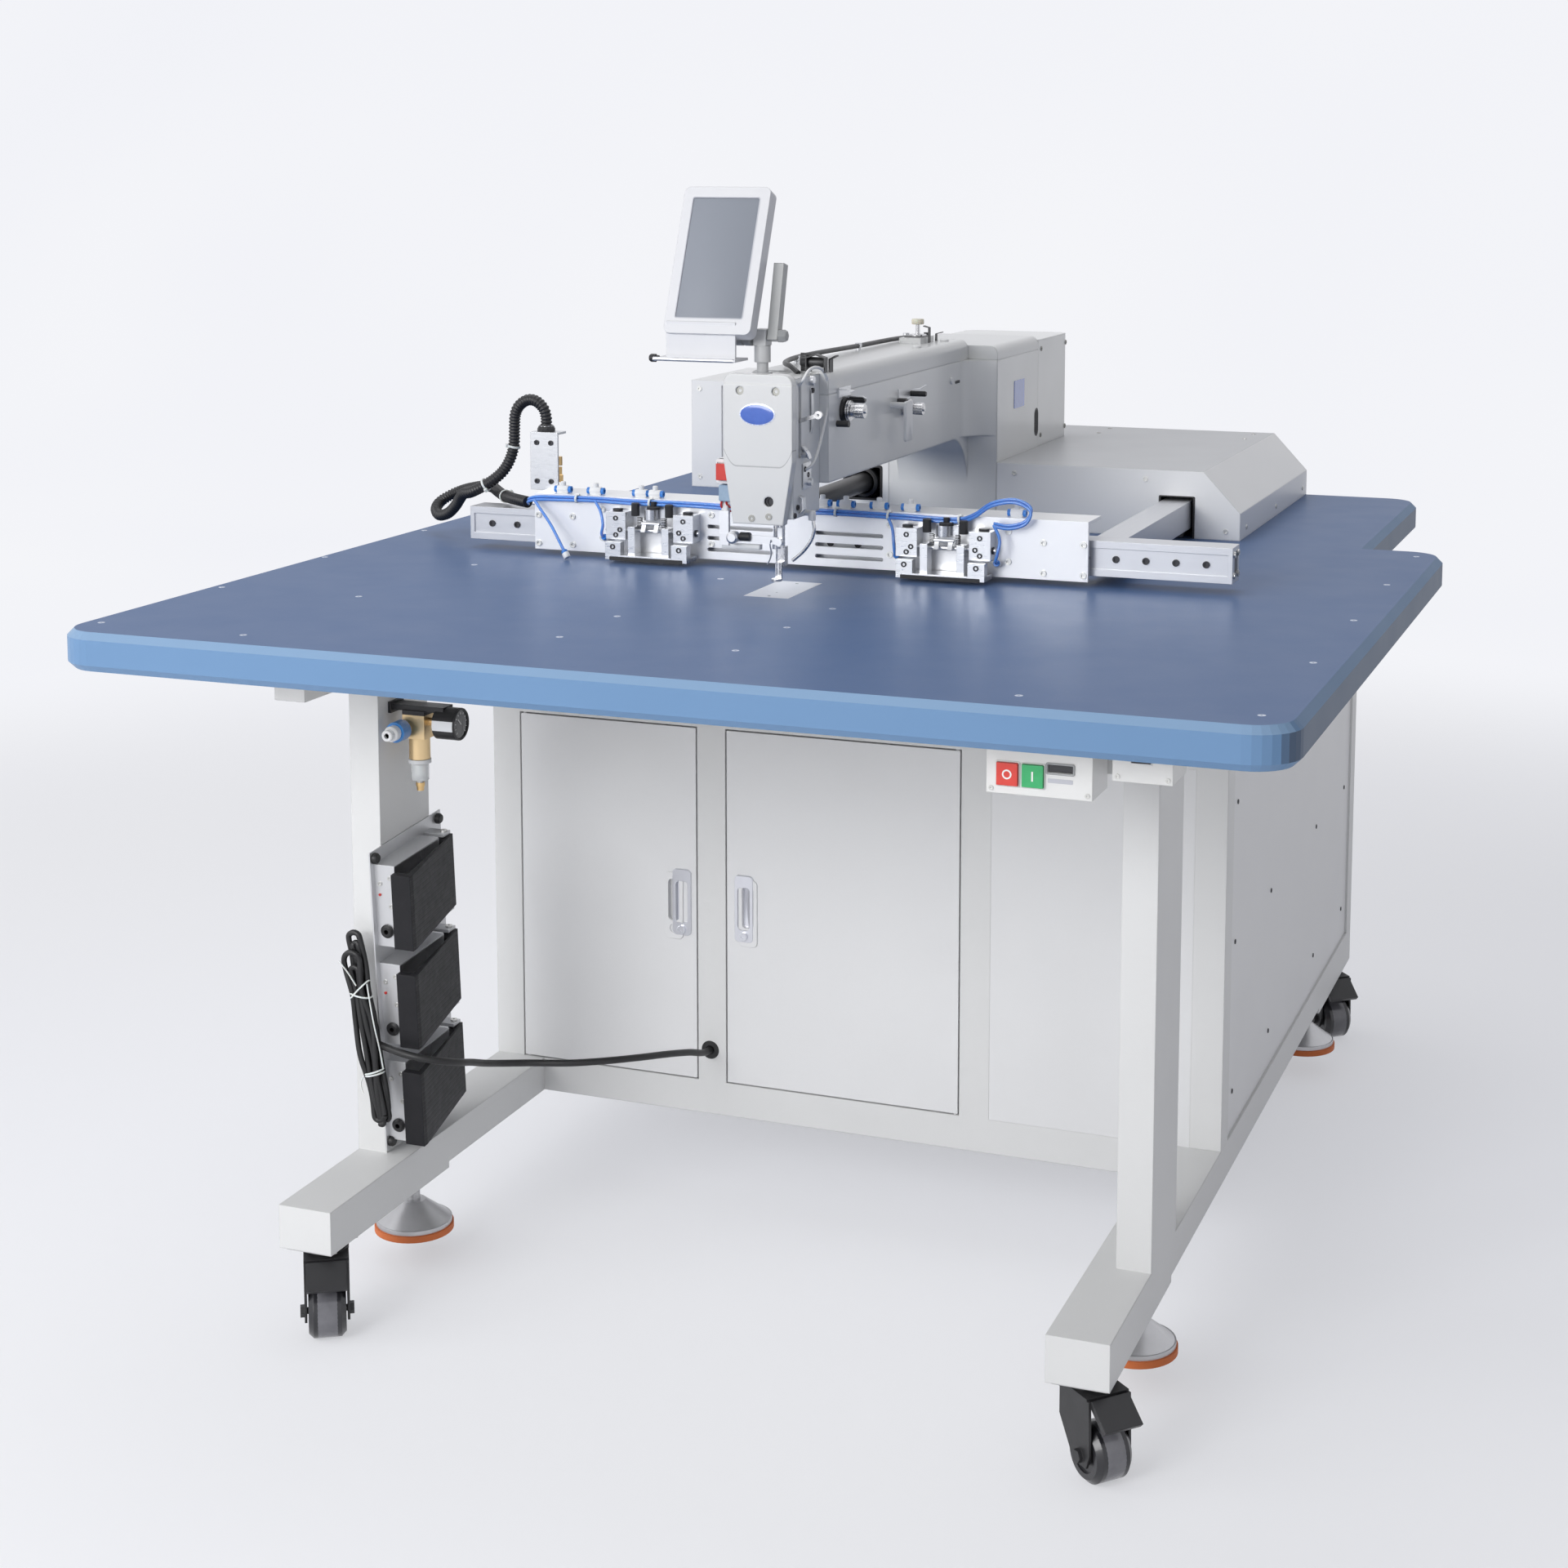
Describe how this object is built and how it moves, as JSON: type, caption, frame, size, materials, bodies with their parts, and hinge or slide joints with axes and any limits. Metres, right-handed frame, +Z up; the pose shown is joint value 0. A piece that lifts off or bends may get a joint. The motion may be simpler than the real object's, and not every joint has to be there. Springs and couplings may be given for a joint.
{
  "type": "computerized sewing machine",
  "caption": "Large-area programmable pattern sewing machine with a sliding cloth clamp, on a wheeled table stand with a drive cabinet and foot pedals.",
  "frame": {"origin": "centre of the bounding box on the floor, under the caster wheels", "axes": "+Z up; +Y from the operator's side to the rear; +X to the operator's right"},
  "size_m": [1.4, 1.685, 1.3517],
  "materials": {
    "stand_paint": "satin",
    "panel_paint": "satin",
    "table_laminate": "glossy laminate",
    "machine_paint": "semi-gloss",
    "cover_paint": "satin",
    "arm_cover_paint": "satin",
    "polished_steel": "polished",
    "anodised": "anodised",
    "panel_plastic": "satin",
    "switch_plastic": "satin",
    "red_plastic": "gloss",
    "green_plastic": "gloss",
    "blue_plastic": "gloss",
    "clear_plastic": "clear",
    "brass_parts": "satin",
    "black_rubber": "matt",
    "hose_plastic": "corrugated",
    "tube_plastic": "gloss",
    "steel_plate": "brushed",
    "foot_steel": "satin",
    "caster_metal": "satin",
    "wheel_tread": "satin",
    "drive_metal": "satin"
  },
  "bodies": {
    "base": {"side_frame_left": "stand_paint", "side_frame_right": "stand_paint", "cabinet_frame": "stand_paint", "cabinet_panels": "panel_paint", "tabletop": "table_laminate", "needle_plate": "polished_steel", "bed_casting": "machine_paint", "arm_casting": "machine_paint", "arm_cover": "arm_cover_paint", "column_cover": "machine_paint", "drive_cover": "cover_paint", "control_box": "cover_paint", "face_cover": "machine_paint", "y_drive": "drive_metal", "panel_post": "arm_cover_paint", "servo_box": "drive_metal", "switch_box": "switch_plastic", "usb_box": "switch_plastic", "air_regulator": "brass_parts", "pedal_bank": "steel_plate", "levelling_feet": "foot_steel", "pedal_cable": "black_rubber", "pedal_hank": "black_rubber"},
    "left_door": {"door_left": "panel_paint"},
    "centre_door": {"door_centre": "panel_paint"},
    "y_carriage": {"y_arms": "anodised", "x_beam": "anodised"},
    "x_carriage": {"clamp_plate": "anodised", "clamp_bases": "steel_plate", "hose_bracket": "steel_plate", "air_hose": "hose_plastic", "air_tubes": "tube_plastic"},
    "left_jaw": {"clamp_jaw_left": "steel_plate"},
    "right_jaw": {"clamp_jaw_right": "steel_plate"},
    "main_shaft": {"main_shaft": "polished_steel"},
    "hook": {"hook": "polished_steel"},
    "needle_bar": {"needle_bar": "polished_steel"},
    "presser_foot": {"presser_foot": "polished_steel"},
    "take_up": {"take_up_lever": "polished_steel"},
    "main_tension": {"main_tension": "polished_steel"},
    "second_tension": {"second_tension": "polished_steel"},
    "winder": {"winder_spindle": "polished_steel"},
    "panel_arm": {"panel_arm": "arm_cover_paint"},
    "panel": {"control_panel": "panel_plastic"},
    "stop_button": {"stop_button": "red_plastic"},
    "start_button": {"start_button": "green_plastic"},
    "halt_button": {"halt_button": "red_plastic"},
    "filter_bowl": {"filter_bowl": "clear_plastic"},
    "slide_valve": {"slide_valve": "blue_plastic"},
    "top_pedal": {"pedal_tread_top": "black_rubber"},
    "middle_pedal": {"pedal_tread_middle": "black_rubber"},
    "bottom_pedal": {"pedal_tread_bottom": "black_rubber"},
    "fork_fl": {"caster_fork_fl": "caster_metal"},
    "wheel_fl": {"caster_wheel_fl": "wheel_tread"},
    "fork_fr": {"caster_fork_fr": "caster_metal"},
    "wheel_fr": {"caster_wheel_fr": "wheel_tread"},
    "fork_rl": {"caster_fork_rl": "caster_metal"},
    "wheel_rl": {"caster_wheel_rl": "wheel_tread"},
    "fork_rr": {"caster_fork_rr": "caster_metal"},
    "wheel_rr": {"caster_wheel_rr": "wheel_tread"}
  },
  "joints": [
    {"name": "door_left", "type": "hinge", "parent": "base", "child": "left_door", "pos_m": [-0.4558, -0.1533, 0.4], "axis": [0, 0, 1], "range_deg": [-68, 0]},
    {"name": "door_centre", "type": "hinge", "parent": "base", "child": "centre_door", "pos_m": [0.1558, -0.1533, 0.4], "axis": [0, 0, 1], "range_deg": [0, 100]},
    {"name": "y_carriage", "type": "slide", "parent": "base", "child": "y_carriage", "axis": [0, 1, 0], "range_m": [-0.1, 0.3]},
    {"name": "x_carriage", "type": "slide", "parent": "y_carriage", "child": "x_carriage", "axis": [1, 0, 0], "range_m": [-0.3, 0.3]},
    {"name": "clamp_jaw_left", "type": "hinge", "parent": "x_carriage", "child": "left_jaw", "pos_m": [-0.26, -0.1665, 0.902], "axis": [1, 0, 0], "range_deg": [-25, 0]},
    {"name": "clamp_jaw_right", "type": "hinge", "parent": "x_carriage", "child": "right_jaw", "pos_m": [0.141, -0.1665, 0.902], "axis": [1, 0, 0], "range_deg": [-25, 0]},
    {"name": "main_shaft", "type": "hinge", "parent": "base", "child": "main_shaft", "pos_m": [-0.026, 0.1575, 1.062], "axis": [0, 1, 0], "continuous": true},
    {"name": "hook", "type": "hinge", "parent": "base", "child": "hook", "pos_m": [-0.026, 0.1575, 0.824], "axis": [0, 1, 0], "continuous": true},
    {"name": "needle_bar", "type": "slide", "parent": "base", "child": "needle_bar", "axis": [0, 0, 1], "range_m": [-0.03, 0.003]},
    {"name": "presser_foot", "type": "slide", "parent": "base", "child": "presser_foot", "axis": [0, 0, 1], "range_m": [-0.0135, 0]},
    {"name": "take_up", "type": "hinge", "parent": "base", "child": "take_up", "pos_m": [-0.006, -0.3425, 1.068], "axis": [0, 1, 0], "range_deg": [-15, 35]},
    {"name": "main_tension", "type": "hinge", "parent": "base", "child": "main_tension", "pos_m": [0.026, -0.2225, 1.076], "axis": [1, 0, 0], "range_deg": [-360, 360]},
    {"name": "second_tension", "type": "hinge", "parent": "base", "child": "second_tension", "pos_m": [0.026, 0.0075, 1.057], "axis": [1, 0, 0], "range_deg": [-360, 360]},
    {"name": "winder_spindle", "type": "hinge", "parent": "base", "child": "winder", "pos_m": [-0.026, 0.2225, 1.1], "axis": [0, 0, 1], "continuous": true},
    {"name": "panel_swivel", "type": "hinge", "parent": "base", "child": "panel_arm", "pos_m": [-0.042, -0.3225, 1.16], "axis": [0, 0, 1], "range_deg": [-60, 60]},
    {"name": "panel_tilt", "type": "hinge", "parent": "panel_arm", "child": "panel", "pos_m": [-0.042, -0.3225, 1.174], "axis": [1, 0, 0], "range_deg": [-35, 8]},
    {"name": "stop_button", "type": "slide", "parent": "base", "child": "stop_button", "axis": [0, 1, 0], "range_m": [0, 0.003], "stiffness_N_per_m": 400, "springref_m": -0.001},
    {"name": "start_button", "type": "slide", "parent": "base", "child": "start_button", "axis": [0, 1, 0], "range_m": [0, 0.003], "stiffness_N_per_m": 400, "springref_m": -0.001},
    {"name": "halt_button", "type": "slide", "parent": "base", "child": "halt_button", "axis": [0, 1, 0], "range_m": [0, 0.002], "stiffness_N_per_m": 400, "springref_m": -0.001},
    {"name": "filter_bowl", "type": "hinge", "parent": "base", "child": "filter_bowl", "pos_m": [-0.428, -0.4895, 0.657], "axis": [0, 0, 1], "range_deg": [0, 45]},
    {"name": "slide_valve", "type": "slide", "parent": "base", "child": "slide_valve", "axis": [0, 1, 0], "range_m": [-0.012, 0]},
    {"name": "top_pedal", "type": "hinge", "parent": "base", "child": "top_pedal", "pos_m": [-0.438, -0.38985, 0.17798], "axis": [0, -0.0698, 0.9976], "range_deg": [-8, 0], "stiffness_Nm_per_rad": 6, "springref_deg": 2.86},
    {"name": "middle_pedal", "type": "hinge", "parent": "base", "child": "middle_pedal", "pos_m": [-0.438, -0.38985, 0.17798], "axis": [0, -0.0698, 0.9976], "range_deg": [-8, 0], "stiffness_Nm_per_rad": 6, "springref_deg": 2.86},
    {"name": "bottom_pedal", "type": "hinge", "parent": "base", "child": "bottom_pedal", "pos_m": [-0.438, -0.38985, 0.17798], "axis": [0, -0.0698, 0.9976], "range_deg": [-8, 0], "stiffness_Nm_per_rad": 6, "springref_deg": 2.86},
    {"name": "caster_swivel_fl", "type": "hinge", "parent": "base", "child": "fork_fl", "pos_m": [-0.467, -0.6675, 0.1], "axis": [0, 0, 1], "continuous": true},
    {"name": "caster_wheel_fl", "type": "hinge", "parent": "fork_fl", "child": "wheel_fl", "pos_m": [-0.45322, -0.68955, 0.032], "axis": [0.848, 0.5299, 0], "continuous": true},
    {"name": "caster_swivel_fr", "type": "hinge", "parent": "base", "child": "fork_fr", "pos_m": [0.467, -0.6675, 0.1], "axis": [0, 0, 1], "continuous": true},
    {"name": "caster_wheel_fr", "type": "hinge", "parent": "fork_fr", "child": "wheel_fr", "pos_m": [0.48632, -0.6849, 0.032], "axis": [0.6691, 0.7431, 0], "continuous": true},
    {"name": "caster_swivel_rl", "type": "hinge", "parent": "base", "child": "fork_rl", "pos_m": [-0.467, 0.7975, 0.1], "axis": [0, 0, 1], "continuous": true},
    {"name": "caster_wheel_rl", "type": "hinge", "parent": "fork_rl", "child": "wheel_rl", "pos_m": [-0.45029, 0.77758, 0.032], "axis": [0.766, 0.6428, 0], "continuous": true},
    {"name": "caster_swivel_rr", "type": "hinge", "parent": "base", "child": "fork_rr", "pos_m": [0.467, 0.7975, 0.1], "axis": [0, 0, 1], "continuous": true},
    {"name": "caster_wheel_rr", "type": "hinge", "parent": "fork_rr", "child": "wheel_rr", "pos_m": [0.48371, 0.77758, 0.032], "axis": [0.766, 0.6428, 0], "continuous": true}
  ],
  "couplings": [
    {"joint": "hook", "follows": "main_shaft", "ratio": 2}
  ]
}
